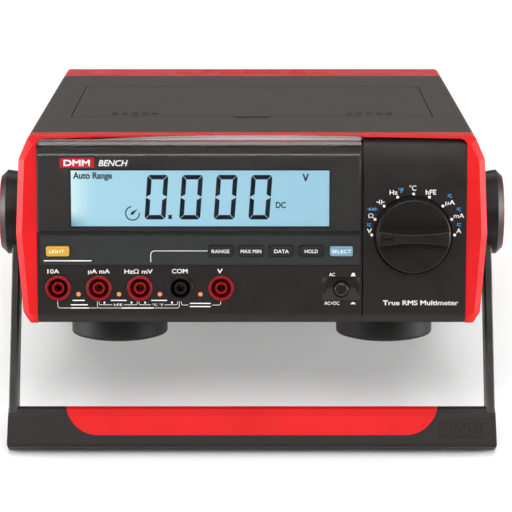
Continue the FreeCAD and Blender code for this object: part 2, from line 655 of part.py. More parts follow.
def battery_door():
    """Door in the underside, with a tab at each end and a screw in the middle of its front edge."""
    x0, x1, y0, y1 = BATTERY
    door = box(x0 + 0.3, x1 - 0.3, y0 + 0.3, y1 - 0.3, 0.0, 2.2)
    door = door.fuse(battery_tab(0.0))
    for i in range(9):
        x = -24 + 6 * i
        door = door.cut(box(x - 1.2, x + 1.2, y1 - 14, y1 - 6, -0.5, 0.6))
    return door.cut(rod_z(*BATTERY_SCREW, 3.3, -1, 1.0)).cut(rod_z(*BATTERY_SCREW, 1.7, -1, 4))


def transformer_core():
    """Laminated core with a foot plate each side."""
    x0, x1, y0, y1 = -60.0, -12.0, 222.0, 258.0
    core = box(x0, x1, y0, y1, WALL, 42.0)
    window = box(x0 + 8, x1 - 8, y0 - 1, y1 + 1, 10.4, 34.0)
    leg = box((x0 + x1) / 2 - 8, (x0 + x1) / 2 + 8, y0, y1, 10, 35)
    return core.cut(window).fuse(leg)


def transformer_winding():
    x = -36.0
    coil = prism_z(rectangle(x - 15.6, x + 15.6, 214.5, 265.5), 5, 10.6, 33.8)
    return coil.cut(box(x - 8.1, x + 8.1, 221.9, 258.1, 5, 40))


def mains_inlet():
    """Panel inlet with its oblong cavity, open to the back."""
    x, z = INLET
    flange = prism_y(rectangle(x - 16, x + 16, z - 12.5, z + 12.5), 3, REAR_PANEL_Y, REAR_PANEL_Y + 2.0)
    body = box(x - 13.5, x + 13.5, REAR_PANEL_Y - 20, REAR_PANEL_Y + 1.5, z - 10, z + 10)
    cavity = prism_y([(x - 12.2, z - 8.2), (x + 12.2, z - 8.2), (x + 12.2, z + 3.6), (x + 7.6, z + 8.2),
                      (x - 7.6, z + 8.2), (x - 12.2, z + 3.6)], 1.0, REAR_PANEL_Y - 16, REAR_PANEL_Y + 4)
    return flange.fuse(body).cut(cavity)


def connector_pins():
    """The metal pins of the mains inlet and of the serial port."""
    x, z = INLET
    pins = [box(x + dx - 1, x + dx + 1, REAR_PANEL_Y - 16.0, REAR_PANEL_Y - 3, z + dz - 2, z + dz + 2)
            for dx, dz in ((-7, -2), (7, -2), (0, 3.0))]
    x, z = SERIAL
    for row, count, dz in ((0, 5, 1.42), (1, 4, -1.42)):
        for i in range(count):
            px = x + (i - (count - 1) / 2) * 2.77
            pins.append(rod_y(px, z + dz, 0.5, REAR_PANEL_Y - 4.4, REAR_PANEL_Y + 5.0))
    return group(*pins)


def power_switch():
    """Housing of the rocker switch."""
    x, z = SWITCH
    flange = prism_y(rectangle(x - 12, x + 12, z - 9, z + 9), 1.5, REAR_PANEL_Y, REAR_PANEL_Y + 2.0)
    body = box(x - 10.5, x + 10.5, REAR_PANEL_Y - 14, REAR_PANEL_Y + 1.5, z - 7.5, z + 7.5)
    housing = flange.fuse(body).cut(box(x - 9.3, x + 9.3, REAR_PANEL_Y - 7.5, REAR_PANEL_Y + 4, z - 6.3, z + 6.3))
    return housing.cut(rod_z(x, ROCKER_PIVOT_Y, ROCKER_PIN_R + 0.1, z - 7.1, z + 7.1))


ROCKER_PIVOT_Y = REAR_PANEL_Y - 1.0
ROCKER_PIN_R = 1.1


def power_rocker():
    """Rocker of the power switch on its two pins, at rest with its right half pressed in."""
    x, z = SWITCH
    y = ROCKER_PIVOT_Y
    outline = [(x - 8.2, y - 3.0), (x + 8.2, y - 3.0), (x + 8.2, y + 4.6), (x, y + 3.6), (x - 8.2, y + 4.6)]
    points = [Vec(px, py, z - 6.0) for px, py in outline]
    rocker = extruded(points, [2.5, 2.5, 0.8, 14, 0.8], Vec(0, 0, 12.0))
    rocker.rotate(Vec(x, y, z), Vec(0, 0, 1), ROCKER_REST)
    return rocker.fuse(rod_z(x, y, ROCKER_PIN_R, z - 6.9, z + 6.9))


ROCKER_REST = 9.0        # degrees; the other position is the same angle the other way


def serial_port():
    """Nine-way data connector: flange, shell and two hexagon posts."""
    x, z = SERIAL
    flange = box(x - 15.4, x + 15.4, REAR_PANEL_Y, REAR_PANEL_Y + 1.9, z - 6.2, z + 6.2)
    shell = [(x - 8.3, z + 4.1), (x + 8.3, z + 4.1), (x + 7.0, z - 4.1), (x - 7.0, z - 4.1)]
    inner = [(x - 7.7, z + 3.6), (x + 7.7, z + 3.6), (x + 6.5, z - 3.6), (x - 6.5, z - 3.6)]
    body = prism_y(shell, 1.8, REAR_PANEL_Y - 9, REAR_PANEL_Y + 6.0)
    body = body.cut(prism_y(inner, 1.4, REAR_PANEL_Y - 4, REAR_PANEL_Y + 7))
    port = flange.cut(prism_y(shell, 1.8, 290, 310)).fuse(body)
    for side in (-1, 1):
        corners = [(x + side * 12.5 + 2.6 * math.cos(math.radians(60 * k + 30)),
                    z + 2.6 * math.sin(math.radians(60 * k + 30))) for k in range(6)]
        post = prism_y(corners, 0, REAR_PANEL_Y + 1.9, REAR_PANEL_Y + 6.0)
        port = port.fuse(post).cut(rod_y(x + side * 12.5, z, 1.3, REAR_PANEL_Y + 1, REAR_PANEL_Y + 8))
    for row, count, dz in ((0, 5, 1.42), (1, 4, -1.42)):
        for i in range(count):
            port = port.cut(rod_y(x + (i - (count - 1) / 2) * 2.77, z + dz, 0.5, REAR_PANEL_Y - 4.4, REAR_PANEL_Y))
    return port


def usb_port():
    """Square data socket with its tongue."""
    x, z = USB
    shell = box(x - 6.0, x + 6.0, REAR_PANEL_Y - 14, REAR_PANEL_Y + 1.6, z - 5.4, z + 5.4)
    shell = shell.cut(box(x - 4.3, x + 4.3, REAR_PANEL_Y - 9, REAR_PANEL_Y + 3, z - 3.9, z + 3.9))
    return shell.fuse(box(x - 2.8, x + 2.8, REAR_PANEL_Y - 10, REAR_PANEL_Y - 1.5, z - 0.8, z + 1.6))


# ---------------------------------------------------------------- feet and fasteners
def feet():
    """Four round feet, each with a groove for its rubber ring and a recess for its screw."""
    made = []
    for x, y in FEET:
        foot = softened(rod_z(x, y, FOOT_R, -FOOT_H + 0.9, 0.0), 1.6, edge_at(-FOOT_H + 0.9, "z"))
        foot = foot.cut(tube_z(x, y, 20.0, 9.0, -FOOT_H, -FOOT_H + 2.4))
        foot = foot.cut(rod_z(x, y, 5.5, -FOOT_H - 1, -3.0)).cut(rod_z(x, y, 1.7, -5, 1))
        made.append(foot)
    return group(*made)


def foot_pads():
    return group(*[tube_z(x, y, 19.9, 9.1, -FOOT_H, -FOOT_H + 2.4) for x, y in FEET])


def screw_z(x, y, z_head, length, head_r, shank_r):
    """A pan head screw pointing up, with a cross recess in its head."""
    screw = rod_z(x, y, head_r, z_head, z_head + 2.0).fuse(rod_z(x, y, shank_r, z_head + 1.9, z_head + length))
    screw = screw.cut(box(x - 1.6, x + 1.6, y - 0.35, y + 0.35, z_head - 1, z_head + 1.0))
    return screw.cut(box(x - 0.35, x + 0.35, y - 1.6, y + 1.6, z_head - 1, z_head + 1.0))


def case_screws():
    return group(*[screw_z(x, y, 4.0, 56.0, 3.0, 1.5) for x, y in CASE_SCREWS])


def short_screws():
    """Screws of the feet, the battery door and the rear panel."""
    screws = [screw_z(x, y, -5.0, 11.0, 3.0, 1.5) for x, y in FEET]
    screws.append(screw_z(*BATTERY_SCREW, -1.0, 8.0, 3.0, 1.5))
    for x, z in PANEL_SCREWS:
        y = REAR_PANEL_Y
        screw = rod_y(x, z, 3.0, y, y + 1.8).fuse(rod_y(x, z, 1.5, y - 8, y + 0.1))
        screw = screw.cut(box(x - 1.6, x + 1.6, y + 0.9, y + 3, z - 0.35, z + 0.35))
        screws.append(screw.cut(box(x - 0.35, x + 0.35, y + 0.9, y + 3, z - 1.6, z + 1.6)))
    return group(*screws)


# ---------------------------------------------------------------- handle
def pivot_bosses():
    """A boss each side, through the case wall, that the handle's hub turns against."""
    y, z = HUB
    boss = rod_x(y, z, 11.5, 106.5, 118.7).fuse(rod_x(y, z, 14.0, 106.5, 110.4))
    boss = boss.fuse(rod_x(y, z, 14.5, 116.2, 118.7)).cut(rod_x(y, z, PIVOT_R, 100, 120))
    return group(*both_sides(boss))


def pivot_screws():
    """Shoulder screws that the hubs turn on."""
    y, z = HUB
    screw = rod_x(y, z, PIVOT_R, 104.0, 125.2).fuse(rod_x(y, z, 7.2, 125.1, 126.7))
    return group(*both_sides(screw.cut(box(126.0, 128, y - 5, y + 5, z - 0.7, z + 0.7))))


def pivot_springs():
    """Ring springs that press the hubs home; a pull on the hubs frees the handle."""
    y, z = HUB
    return group(*both_sides(tube_x(y, z, 6.8, 4.3, 122.9, 125.1)))


def crossbar_section():
    """Section of the crossbar as (y, z) about the pivot line, with the handle pointing straight down."""
    top = HANDLE_REACH
    ahead_and_down = [(5.6, 0.0), (7.2, 1.6), (8.0, 5.7), (5.7, 19.4), (4.1, 21.1), (-6.6, 20.2),
                      (-8.0, 18.7), (-8.0, 1.6), (-6.4, 0.0)]
    return [(-ahead, -(top + down)) for ahead, down in ahead_and_down]


def lean(shape):
    """Takes a handle part from straight down to its place in the stand."""
    shape.rotate(Vec(0, 0, 0), Vec(1, 0, 0), -HANDLE_LEAN)
    shape.translate(Vec(0, HUB[0], HUB[1]))
    return shape


def grip_region(margin):
    """The stretch of the crossbar that the grip covers, wider by a margin, less the core that it wraps."""
    half, drop, corner = 94.5 + margin, 15.1 + margin, 16.5
    top = HANDLE_REACH
    region = prism_y(rectangle(-half, half, -(top + drop), -(top - 10)), [corner, corner, 0, 0], -12, 12)
    core = box(-half - 1, half + 1, -5.2, 5.4, -(top + 40), -(top + 2.6))
    return region.cut(core)


def sunk_badge():
    """Cutter for the sunken letters and their frame at the right end of the crossbar's front face."""
    z0, z1 = -(HANDLE_REACH + 16.4), -(HANDLE_REACH + 8.8)
    low, high, stroke = z0 + 1.6, z1 - 1.6, 0.8
    frame = prism_y(rectangle(94.2, 116.8, z0, z1), 0.8, -20, 20)
    badge = frame.cut(prism_y(rectangle(94.9, 116.1, z0 + 0.7, z1 - 0.7), 0.4, -21, 21))
    letter_d = prism_y(rectangle(96.8, 101.4, low, high), [0, 1.6, 1.6, 0], -20, 20)
    hole = rectangle(96.8 + stroke, 101.4 - stroke, low + stroke, high - stroke)
    badge = badge.fuse(letter_d.cut(prism_y(hole, [0, 0.8, 0.8, 0], -21, 21)))
    for x in (102.8, 109.1):
        vee = [(x, high), (x + 0.9, high), (x + 2.6, low + 1.9), (x + 4.3, high), (x + 5.2, high),
               (x + 2.6, low + 0.5)]
        badge = badge.fuse(prism_y(vee, 0, -20, 20))
        for left in (x, x + 5.2 - stroke):
            badge = badge.fuse(prism_y(rectangle(left, left + stroke, low, high), 0, -20, 20))
    (ahead_a, down_a), (ahead_b, down_b), depth = (8.0, 5.7), (5.7, 19.4), 0.35
    layer = [(-ahead_a + depth, -HANDLE_REACH - down_a), (-ahead_b + depth, -HANDLE_REACH - down_b),
             (-ahead_b - 2, -HANDLE_REACH - down_b), (-ahead_a - 2, -HANDLE_REACH - down_a)]
    return badge.common(prism_x(layer, 0, 90, 120))


def handle_frame():
    """Both hubs, both arms and the crossbar, in one moulding."""
    hub = turned([(119.1, HUB_BORE_R), (119.1, 19.8), (120.0, 20.9), (126.3, 21.9), (HUB_OUT_X, 19.2),
                  (HUB_OUT_X, 17.7), (127.0, 17.7), (127.0, 8.4), (122.6, 8.4), (122.6, HUB_BORE_R)],
                 (0, 0, 0), (1, 0, 0))
    section = [(ARM_IN_X, -7.0), (ARM_IN_X + 1, -8.0), (ARM_OUT_X - 0.5, -8.0), (ARM_OUT_X, -7.4),
               (ARM_OUT_X, 7.4), (ARM_OUT_X - 0.5, 8.0), (ARM_IN_X + 1, 8.0), (ARM_IN_X, 7.0)]
    arm = prism_z(section, 0, -(HANDLE_REACH + 4), -14)
    top, bottom = -HANDLE_REACH, -(HANDLE_REACH + 22)
    corners = [(-ARM_OUT_X, 0), (-ARM_OUT_X - 0.1, top), (-ARM_OUT_X - 0.9, bottom),
               (ARM_OUT_X + 0.9, bottom), (ARM_OUT_X + 0.1, top), (ARM_OUT_X, 0)]
    silhouette = prism_y(corners, [0, 0, 2.2, 2.2, 0, 0], -12, 12)
    bar = prism_x(crossbar_section(), 0.5, -125, 125).common(silhouette)
    frame = bar
    for piece in both_sides(hub) + both_sides(arm):
        frame = frame.fuse(piece)
    frame = frame.cut(group(*both_sides(rod_x(0, 0, 17.7, 127.0, 140))))
    frame = frame.cut(grip_region(0.12)).cut(sunk_badge())
    return lean(frame)


def handle_grip():
    """Soft red grip wrapped over the inner side of the crossbar."""
    return lean(prism_x(crossbar_section(), 0.5, -100, 100).common(grip_region(0.0)))


def hub_caps():
    """Domed red cap that plugs into each hub and covers its outer face."""
    y, z = HUB
    rim_r, rise, base = 18.9, 1.1, HUB_OUT_X + 0.5
    ball_r = (rim_r ** 2 + rise ** 2) / (2 * rise)
    ball = Part.makeSphere(ball_r, Vec(base + rise - ball_r, y, z))
    dome = rod_x(y, z, rim_r, HUB_OUT_X + 0.05, base + 5).common(ball)
    return group(*both_sides(dome.fuse(rod_x(y, z, 17.5, 127.1, HUB_OUT_X + 0.2))))


# ---------------------------------------------------------------- assembly
def build():
    NODES.update({
        "front_bezel": front_bezel(), "top_cover": top_cover(), "bottom_cover": bottom_cover(),
        "rear_bezel": rear_bezel(), "rear_bumpers": rear_bumpers(), "rear_panel": rear_panel(),
        "display_fascia": display_fascia(), "selector_fascia": selector_fascia(), "display_lens": display_lens(),
        "keymat": keymat(), "acdc_button": acdc_button(), "acdc_switch": acdc_switch(),
        "lcd_glass": lcd_glass(), "lcd_backlight": lcd_backlight(), "lcd_frame": lcd_frame(),
        "display_board": display_board(), "main_board": main_board(), "board_components": board_components(),
        "ribbon_cable": ribbon_cable(), "fuses": fuses(),
        "selector_knob": selector_knob(), "selector_shaft": selector_shaft(),
        "selector_rotor": selector_rotor(), "selector_board": selector_board(), "jack_board": jack_board(),
        "storage_lid": storage_lid(), "storage_bin": storage_bin(),
        "battery_box": battery_box(), "battery_cells": battery_cells(), "battery_door": battery_door(),
        "transformer_core": transformer_core(), "transformer_winding": transformer_winding(),
        "mains_inlet": mains_inlet(), "connector_pins": connector_pins(), "power_switch": power_switch(),
        "power_rocker": power_rocker(), "serial_port": serial_port(), "usb_port": usb_port(),
        "feet": feet(), "foot_pads": foot_pads(), "case_screws": case_screws(), "short_screws": short_screws(),
        "pivot_bosses": pivot_bosses(), "pivot_screws": pivot_screws(), "pivot_springs": pivot_springs(),
        "handle_frame": handle_frame(), "handle_grip": handle_grip(), "hub_caps": hub_caps(),
    })
    for name, x in KEY_X.items():
        NODES[name] = key(x, 1.3 if name in ("key_light", "key_select") else 0.8)
    red = [x for name, x in JACK_X.items() if name != "jack_com"]
    NODES["jack_sleeves_red"] = group(*[jack_sleeve(x) for x in red])
    NODES["jack_sleeve_com"] = jack_sleeve(JACK_X["jack_com"])
    NODES["jack_sockets"] = group(*[jack_socket(x) for x in JACK_X.values()])
    NODES["jack_shells_red"] = group(*[jack_shell(x) for x in red])
    NODES["jack_shell_com"] = jack_shell(JACK_X["jack_com"])


def stand_on(points_front, points_rear):
    """Tilt, in degrees, at which the lowest front points and the lowest rear points reach the same table."""
    low, high = 0.0, 40.0
    for _ in range(60):
        middle = (low + high) / 2
        a = math.radians(middle)

        def height(point):
            return -point[0] * math.sin(a) + point[1] * math.cos(a)
        if min(map(height, points_front)) < min(map(height, points_rear)):
            low = middle
        else:
            high = middle
    return (low + high) / 2


def tilt_angle():
    """The nose-up angle of the case when it stands on the crossbar and the rear feet's rubber rings."""
    a = math.radians(HANDLE_LEAN)
    bar = [(HUB[0] + y * math.cos(a) + z * math.sin(a), HUB[1] - y * math.sin(a) + z * math.cos(a))
           for y, z in crossbar_section()]
    return stand_on(bar, [(REAR_FOOT_Y + 19.9, -FOOT_H)])


def placement():
    """The move from the case frame to the standing frame: the tilt, then the origin under the middle."""
    tilt = FreeCAD.Rotation(Vec(1, 0, 0), -tilt_angle())
    whole = Part.makeCompound([s.copy() for s in NODES.values()])
    whole.Placement = FreeCAD.Placement(Vec(0, 0, 0), tilt)
    bounds = whole.optimalBoundingBox(False, False)
    return FreeCAD.Placement(Vec(0, -(bounds.YMin + bounds.YMax) / 2, -bounds.ZMin), tilt)


def main():
    build()
    assert len(NODES) <= 60, len(NODES)
    stand = placement()
    os.makedirs("parts", exist_ok=True)
    for name, shape in NODES.items():
        placed = shape.copy()
        placed.transformShape(stand.toMatrix(), True)
        assert placed.isValid() and placed.Volume > 0, name
        placed.exportStep(os.path.join("parts", name + ".step"))
    origin = stand.Base
    print(f"{len(NODES)} sub-parts, tilt {tilt_angle():.3f} deg, shift Y {origin.y:.3f} Z {origin.z:.3f}")


main()
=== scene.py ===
"""Looks of the bench multimeter: materials, printed legends, the display's contents, studio and camera.

Everything printed is laid out in the meter's own case frame and taken from there to its tilted place
by CASE. In that frame x runs right, y back from the front panel and z up from the underside of the case,
in millimetres.
"""

import json
import math
from collections import Counter

import bpy
from mathutils import Matrix, Vector


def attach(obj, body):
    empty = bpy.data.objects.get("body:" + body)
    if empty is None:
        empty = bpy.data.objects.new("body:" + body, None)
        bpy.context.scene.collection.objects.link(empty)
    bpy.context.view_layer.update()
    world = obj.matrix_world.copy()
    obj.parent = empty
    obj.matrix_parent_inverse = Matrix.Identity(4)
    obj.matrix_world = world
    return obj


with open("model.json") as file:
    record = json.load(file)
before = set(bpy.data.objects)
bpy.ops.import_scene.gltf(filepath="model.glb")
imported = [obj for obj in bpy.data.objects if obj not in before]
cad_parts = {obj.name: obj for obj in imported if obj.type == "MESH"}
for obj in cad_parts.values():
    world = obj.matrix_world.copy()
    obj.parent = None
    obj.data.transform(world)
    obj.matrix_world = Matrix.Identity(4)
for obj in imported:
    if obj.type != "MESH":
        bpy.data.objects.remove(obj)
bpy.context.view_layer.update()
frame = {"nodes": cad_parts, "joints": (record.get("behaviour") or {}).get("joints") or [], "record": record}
nodes = frame["nodes"]
joints = {j["name"]: j for j in frame["joints"]}

# ------------------------------------------------------------ the tilted case frame, millimetres to metres
HUB_IN_CASE = Vector((0.0, 85.0, 42.5))
slide_axis = joints["acdc_push"]["axis"]
TILT = math.atan2(-slide_axis[2], slide_axis[1])
TO_ROW = Matrix.Rotation(-TILT, 4, "X") @ Matrix.Scale(0.001, 4)
CASE = Matrix.Translation(Vector(joints["handle_pivot"]["pos_m"])) @ TO_ROW @ Matrix.Translation(-HUB_IN_CASE)


def linear(red, green, blue):
    """Linear colour of 8-bit display values."""
    def channel(v):
        v /= 255
        return v / 12.92 if v <= 0.04045 else ((v + 0.055) / 1.055) ** 2.4
    return (channel(red), channel(green), channel(blue), 1.0)


LCD = (-88.5, 38.1, 48.3, 76.4)      # left, right, bottom and top of the lit display
LCD_Y = 4.24                          # its figures lie just in front of the glass

# where prints lie: on the panels, and on the back of the clear cover
PANEL_Y = -0.06
COVER_Y = 1.58


# ------------------------------------------------------------ materials
class Nodes:
    """Small helper that adds and links shader nodes."""

    def __init__(self, name):
        self.material = bpy.data.materials.new(name)
        self.material.use_nodes = True
        self.tree = self.material.node_tree
        self.tree.nodes.clear()
        self.output = self.add("ShaderNodeOutputMaterial")
        self.coordinates = self.add("ShaderNodeTexCoord").outputs["Object"]

    def add(self, kind, **settings):
        node = self.tree.nodes.new(kind)
        for key, value in settings.items():
            setattr(node, key, value)
        return node

    def link(self, start, end):
        self.tree.links.new(start, end)

    def noise(self, scale, detail=3.0, stretch=None):
        source = self.coordinates
        if stretch:
            mapping = self.add("ShaderNodeMapping")
            mapping.inputs["Scale"].default_value = stretch
            self.link(source, mapping.inputs["Vector"])
            source = mapping.outputs["Vector"]
        noise = self.add("ShaderNodeTexNoise")
        noise.inputs["Scale"].default_value = scale
        noise.inputs["Detail"].default_value = detail
        self.link(source, noise.inputs["Vector"])
        return noise.outputs["Fac"]

    def span(self, value, low, high, start=0.3, end=0.7):
        """Maps a value's middle range to low..high."""
        ranged = self.add("ShaderNodeMapRange")
        for key, number in (("From Min", start), ("From Max", end), ("To Min", low), ("To Max", high)):
            ranged.inputs[key].default_value = number
        self.link(value, ranged.inputs["Value"])
        return ranged.outputs["Result"]

    def blend(self, factor, first, second):
        mix = self.add("ShaderNodeMix", data_type="RGBA")
        mix.inputs["A"].default_value = first
        mix.inputs["B"].default_value = second
        self.link(factor, mix.inputs["Factor"])
        return mix.outputs["Result"]

    def bump(self, height, strength, distance, below=None):
        bump = self.add("ShaderNodeBump")
        bump.inputs["Strength"].default_value = strength
        bump.inputs["Distance"].default_value = distance
        self.link(height, bump.inputs["Height"])
        if below:
            self.link(below, bump.inputs["Normal"])
        return bump.outputs["Normal"]


def shade(colour, amount):
    """The colour made lighter or darker by a share."""
    return tuple(min(1.0, c * (1 + amount)) for c in colour[:3]) + (1.0,)


def moulded(name, colour, roughness, grain=0.25, grain_scale=2600, mottle=0.05, spread=0.06,
            coat=0.0, metal=0.0, specular=0.22, wear=0.0):
    """Moulded plastic, rubber or plain metal: fine grain, mottled colour, uneven gloss, faint marks."""
    n = Nodes(name)
    bsdf = n.add("ShaderNodeBsdfPrincipled")
    cloud = n.noise(38.0, 4.0)
    tint = n.blend(n.span(cloud, 0.0, 1.0), shade(colour, -mottle), shade(colour, mottle))
    n.link(tint, bsdf.inputs["Base Color"])
    n.link(n.span(n.noise(95.0, 5.0), roughness - spread, roughness + spread), bsdf.inputs["Roughness"])
    normal = n.bump(n.noise(grain_scale, 2.0), grain, 0.00004)
    if wear:
        streaks = n.span(n.noise(900.0, 4.0, (1.0, 0.08, 1.0)), 0.0, 1.0, 0.66, 0.74)
        normal = n.bump(streaks, wear, 0.00002, below=normal)
    n.link(normal, bsdf.inputs["Normal"])
    bsdf.inputs["Metallic"].default_value = metal
    bsdf.inputs["Specular IOR Level"].default_value = specular
    bsdf.inputs["Coat Weight"].default_value = coat
    bsdf.inputs["Coat Roughness"].default_value = 0.12
    n.link(bsdf.outputs["BSDF"], n.output.inputs["Surface"])
    return n.material


def ink(name, colour, roughness=0.45, glow=0.0):
    """Printed ink, very slightly uneven. A glow makes the ink give off light of its own colour; on prints
    behind the clear cover this is painted light.
    """
    n = Nodes(name)
    bsdf = n.add("ShaderNodeBsdfPrincipled")
    n.link(n.blend(n.noise(900.0, 3.0), shade(colour, -0.06), shade(colour, 0.04)), bsdf.inputs["Base Color"])
    bsdf.inputs["Roughness"].default_value = roughness
    # painted light where the print lies behind the clear cover: emission stands in for lamp light the cover
    # keeps off it; the light guide's glow is its own
    if glow:
        bsdf.inputs["Emission Color"].default_value = colour
        bsdf.inputs["Emission Strength"].default_value = glow
    n.link(bsdf.outputs["BSDF"], n.output.inputs["Surface"])
    return n.material


def clear_plastic(name):
    """Clear display cover with faint dust and wipe marks in its gloss."""
    n = Nodes(name)
    bsdf = n.add("ShaderNodeBsdfPrincipled")
    bsdf.inputs["Base Color"].default_value = (0.97, 0.98, 0.98, 1.0)
    bsdf.inputs["Transmission Weight"].default_value = 1.0
    bsdf.inputs["IOR"].default_value = 1.49
    n.link(n.span(n.noise(60.0, 6.0, (1.0, 1.0, 0.25)), 0.0, 0.03, 0.45, 0.8), bsdf.inputs["Roughness"])
    n.link(bsdf.outputs["BSDF"], n.output.inputs["Surface"])
    return n.material


def display_glass(name):
    """Back-lit display: pale blue, whiter by the lamp at its left end, dim in the corner below the lamp."""
    n = Nodes(name)
    bsdf = n.add("ShaderNodeBsdfPrincipled")
    split = n.add("ShaderNodeSeparateXYZ")
    n.link(n.coordinates, split.inputs["Vector"])
    up = n.add("ShaderNodeVectorMath", operation="DOT_PRODUCT")
    up.inputs[1].default_value = CASE.to_3x3() @ Vector((0.0, 0.0, 1000.0))
    n.link(n.coordinates, up.inputs[0])
    ground = (CASE @ Vector((0.0, LCD_Y, 0.0))).dot(CASE.to_3x3() @ Vector((0.0, 0.0, 1000.0)))
    across = n.span(split.outputs["X"], 0.0, 1.0, LCD[0] / 1000, LCD[1] / 1000)
    cloudy = n.add("ShaderNodeMath", operation="MULTIPLY_ADD")
    n.link(n.noise(30.0, 2.0), cloudy.inputs[0])
    cloudy.inputs[1].default_value = 0.25
    n.link(across, cloudy.inputs[2])
    base = n.blend(cloudy.outputs["Value"], linear(176, 223, 241), linear(160, 209, 229))
    near = n.add("ShaderNodeMath", operation="POWER")
    near.inputs[1].default_value = 1.7
    n.link(n.span(split.outputs["X"], 1.0, 0.0, -0.0890, -0.0755), near.inputs[0])
    high = n.span(up.outputs["Value"], 0.0, 1.0, ground + 0.0485, ground + 0.0565)
    high.node.interpolation_type = "SMOOTHSTEP"
    glow = n.add("ShaderNodeMix", data_type="RGBA")
    glow.inputs["A"].default_value = linear(112, 164, 188)
    glow.inputs["B"].default_value = linear(226, 251, 254)
    n.link(high, glow.inputs["Factor"])
    light = n.add("ShaderNodeMix", data_type="RGBA")
    n.link(near.outputs["Value"], light.inputs["Factor"])
    n.link(base, light.inputs["A"])
    n.link(glow.outputs["Result"], light.inputs["B"])
    n.link(light.outputs["Result"], bsdf.inputs["Emission Color"])
    bsdf.inputs["Base Color"].default_value = (0.04, 0.06, 0.07, 1.0)
    bsdf.inputs["Emission Strength"].default_value = 1.0
    bsdf.inputs["Roughness"].default_value = 0.35
    n.link(bsdf.outputs["BSDF"], n.output.inputs["Surface"])
    return n.material


RED = linear(190, 26, 28)
CHARCOAL = linear(50, 43, 37)
PANEL = linear(26, 22, 21)

MATERIALS = {
    "bezel_red": moulded("red_plastic", RED, 0.42, grain=0.10, mottle=0.05, specular=0.12, wear=0.08),
    "cap_red": moulded("red_cap_plastic", linear(180, 20, 26), 0.36, grain=0.12, mottle=0.05, coat=0.15),
    "grip_red": moulded("red_soft_grip", linear(198, 13, 16), 0.52, grain=0.30, mottle=0.06, wear=0.2),
    "case_charcoal": moulded("charcoal_textured_plastic", CHARCOAL, 0.50, grain=0.4, grain_scale=2100,
                              spread=0.015, wear=0.02),
    "panel_charcoal": moulded("panel_textured_plastic", PANEL, 0.46, grain=0.40, grain_scale=2600),
    "handle_grey": moulded("handle_grey_plastic", linear(31, 27, 26), 0.42, grain=0.28, wear=0.2),
    "lens_clear": clear_plastic("clear_display_cover"),
    "rubber_black": moulded("black_rubber", linear(26, 25, 25), 0.72, grain=0.4, grain_scale=1500,
                            specular=0.3),
    "foot_dark": moulded("dark_foot_plastic", linear(14, 12, 11), 0.5, grain=0.25),
    "boss_dark": moulded("dark_boss_plastic", linear(5, 2, 2), 0.55, grain=0.3, specular=0.06),
    "knob_dark": moulded("knob_plastic", linear(20, 18, 16), 0.40, grain=0.22, wear=0.15),
    "key_grey": moulded("dark_key_silicone", linear(30, 28, 27), 0.42, grain=0.15),
    "key_orange": moulded("orange_key_silicone", linear(184, 141, 55), 0.45, grain=0.15, mottle=0.05),
    "key_blue": moulded("blue_key_silicone", linear(98, 138, 161), 0.45, grain=0.15, mottle=0.05),
    "button_grey": moulded("button_plastic", linear(24, 22, 21), 0.30, grain=0.08, coat=0.2),
    "jack_red": moulded("red_jack_plastic", linear(124, 9, 17), 0.34, grain=0.08, mottle=0.06, coat=0.1),
    "jack_black": moulded("black_jack_plastic", linear(22, 21, 21), 0.34, grain=0.08, coat=0.1),
    "brass": moulded("turned_brass", linear(214, 178, 108), 0.28, grain=0.25, grain_scale=900, metal=1.0),
    "board_green": moulded("board_solder_mask", linear(24, 84, 50), 0.35, grain=0.2, mottle=0.2, coat=0.3),
    "component_dark": moulded("black_component_plastic", linear(30, 29, 29), 0.42, grain=0.2),
    "lcd": display_glass("lit_display_glass"),
    "backlight": ink("milky_light_guide", linear(222, 240, 246), 0.4, glow=0.4),
    "panel_grey": moulded("dark_moulding", linear(34, 31, 30), 0.55, grain=0.45, grain_scale=1900),
    "ribbon_grey": moulded("flat_cable", linear(150, 150, 150), 0.5),
    "fuse_body": moulded("fuse_ceramic", linear(224, 220, 210), 0.4),
    "cell_case": moulded("cell_jacket", linear(190, 150, 60), 0.35, metal=0.6),
    "core_steel": moulded("laminated_steel", linear(110, 110, 114), 0.45, grain=0.4, grain_scale=1200,
                          metal=1.0),
    "winding": moulded("winding_tape", linear(190, 150, 60), 0.45, grain=0.3),
    "steel": moulded("plated_steel", linear(186, 186, 190), 0.30, grain=0.2, grain_scale=1600, metal=1.0),
}
WHITE = ink("white_legend_ink", linear(226, 226, 222))
CREAM = ink("pale_key_ink", linear(244, 222, 170))
# painted light: the white prints behind the clear cover glow to stand in for lamp light the cover keeps off
# them
LEGEND_INK_WITH_PAINTED_LIGHT = ink("window_legend_ink_with_painted_light", linear(250, 250, 250), glow=0.35)
RIM = ink("window_rim_ink", linear(14, 22, 46), 0.4)
SKY = ink("blue_legend_ink", linear(62, 142, 190))
AMBER = ink("amber_legend_ink", linear(206, 128, 62))
# painted light: the red badge behind the clear cover glows a little to stand in for lamp light the cover
# keeps off it
BADGE_INK_WITH_PAINTED_LIGHT = ink("red_badge_ink_with_painted_light", linear(206, 18, 34), 0.35, glow=0.15)
# painted light: the dark window print glows a little to stand in for lamp light the cover keeps off it
SMOKE_INK_WITH_PAINTED_LIGHT = ink("dark_window_ink_with_painted_light", linear(46, 44, 43), 0.4, glow=0.3)
SLATE = ink("key_strip_ink", linear(10, 12, 12), 0.65)
SEGMENT = ink("display_segment", linear(2, 4, 34), 0.7)
SEGMENT_FINE = ink("display_fine_segment", linear(14, 36, 58), 0.5)

for part in frame["record"]["subparts"]:
    mesh = nodes[part["node"]].data
    mesh.materials.clear()
    mesh.materials.append(MATERIALS[part["material_slot"]])


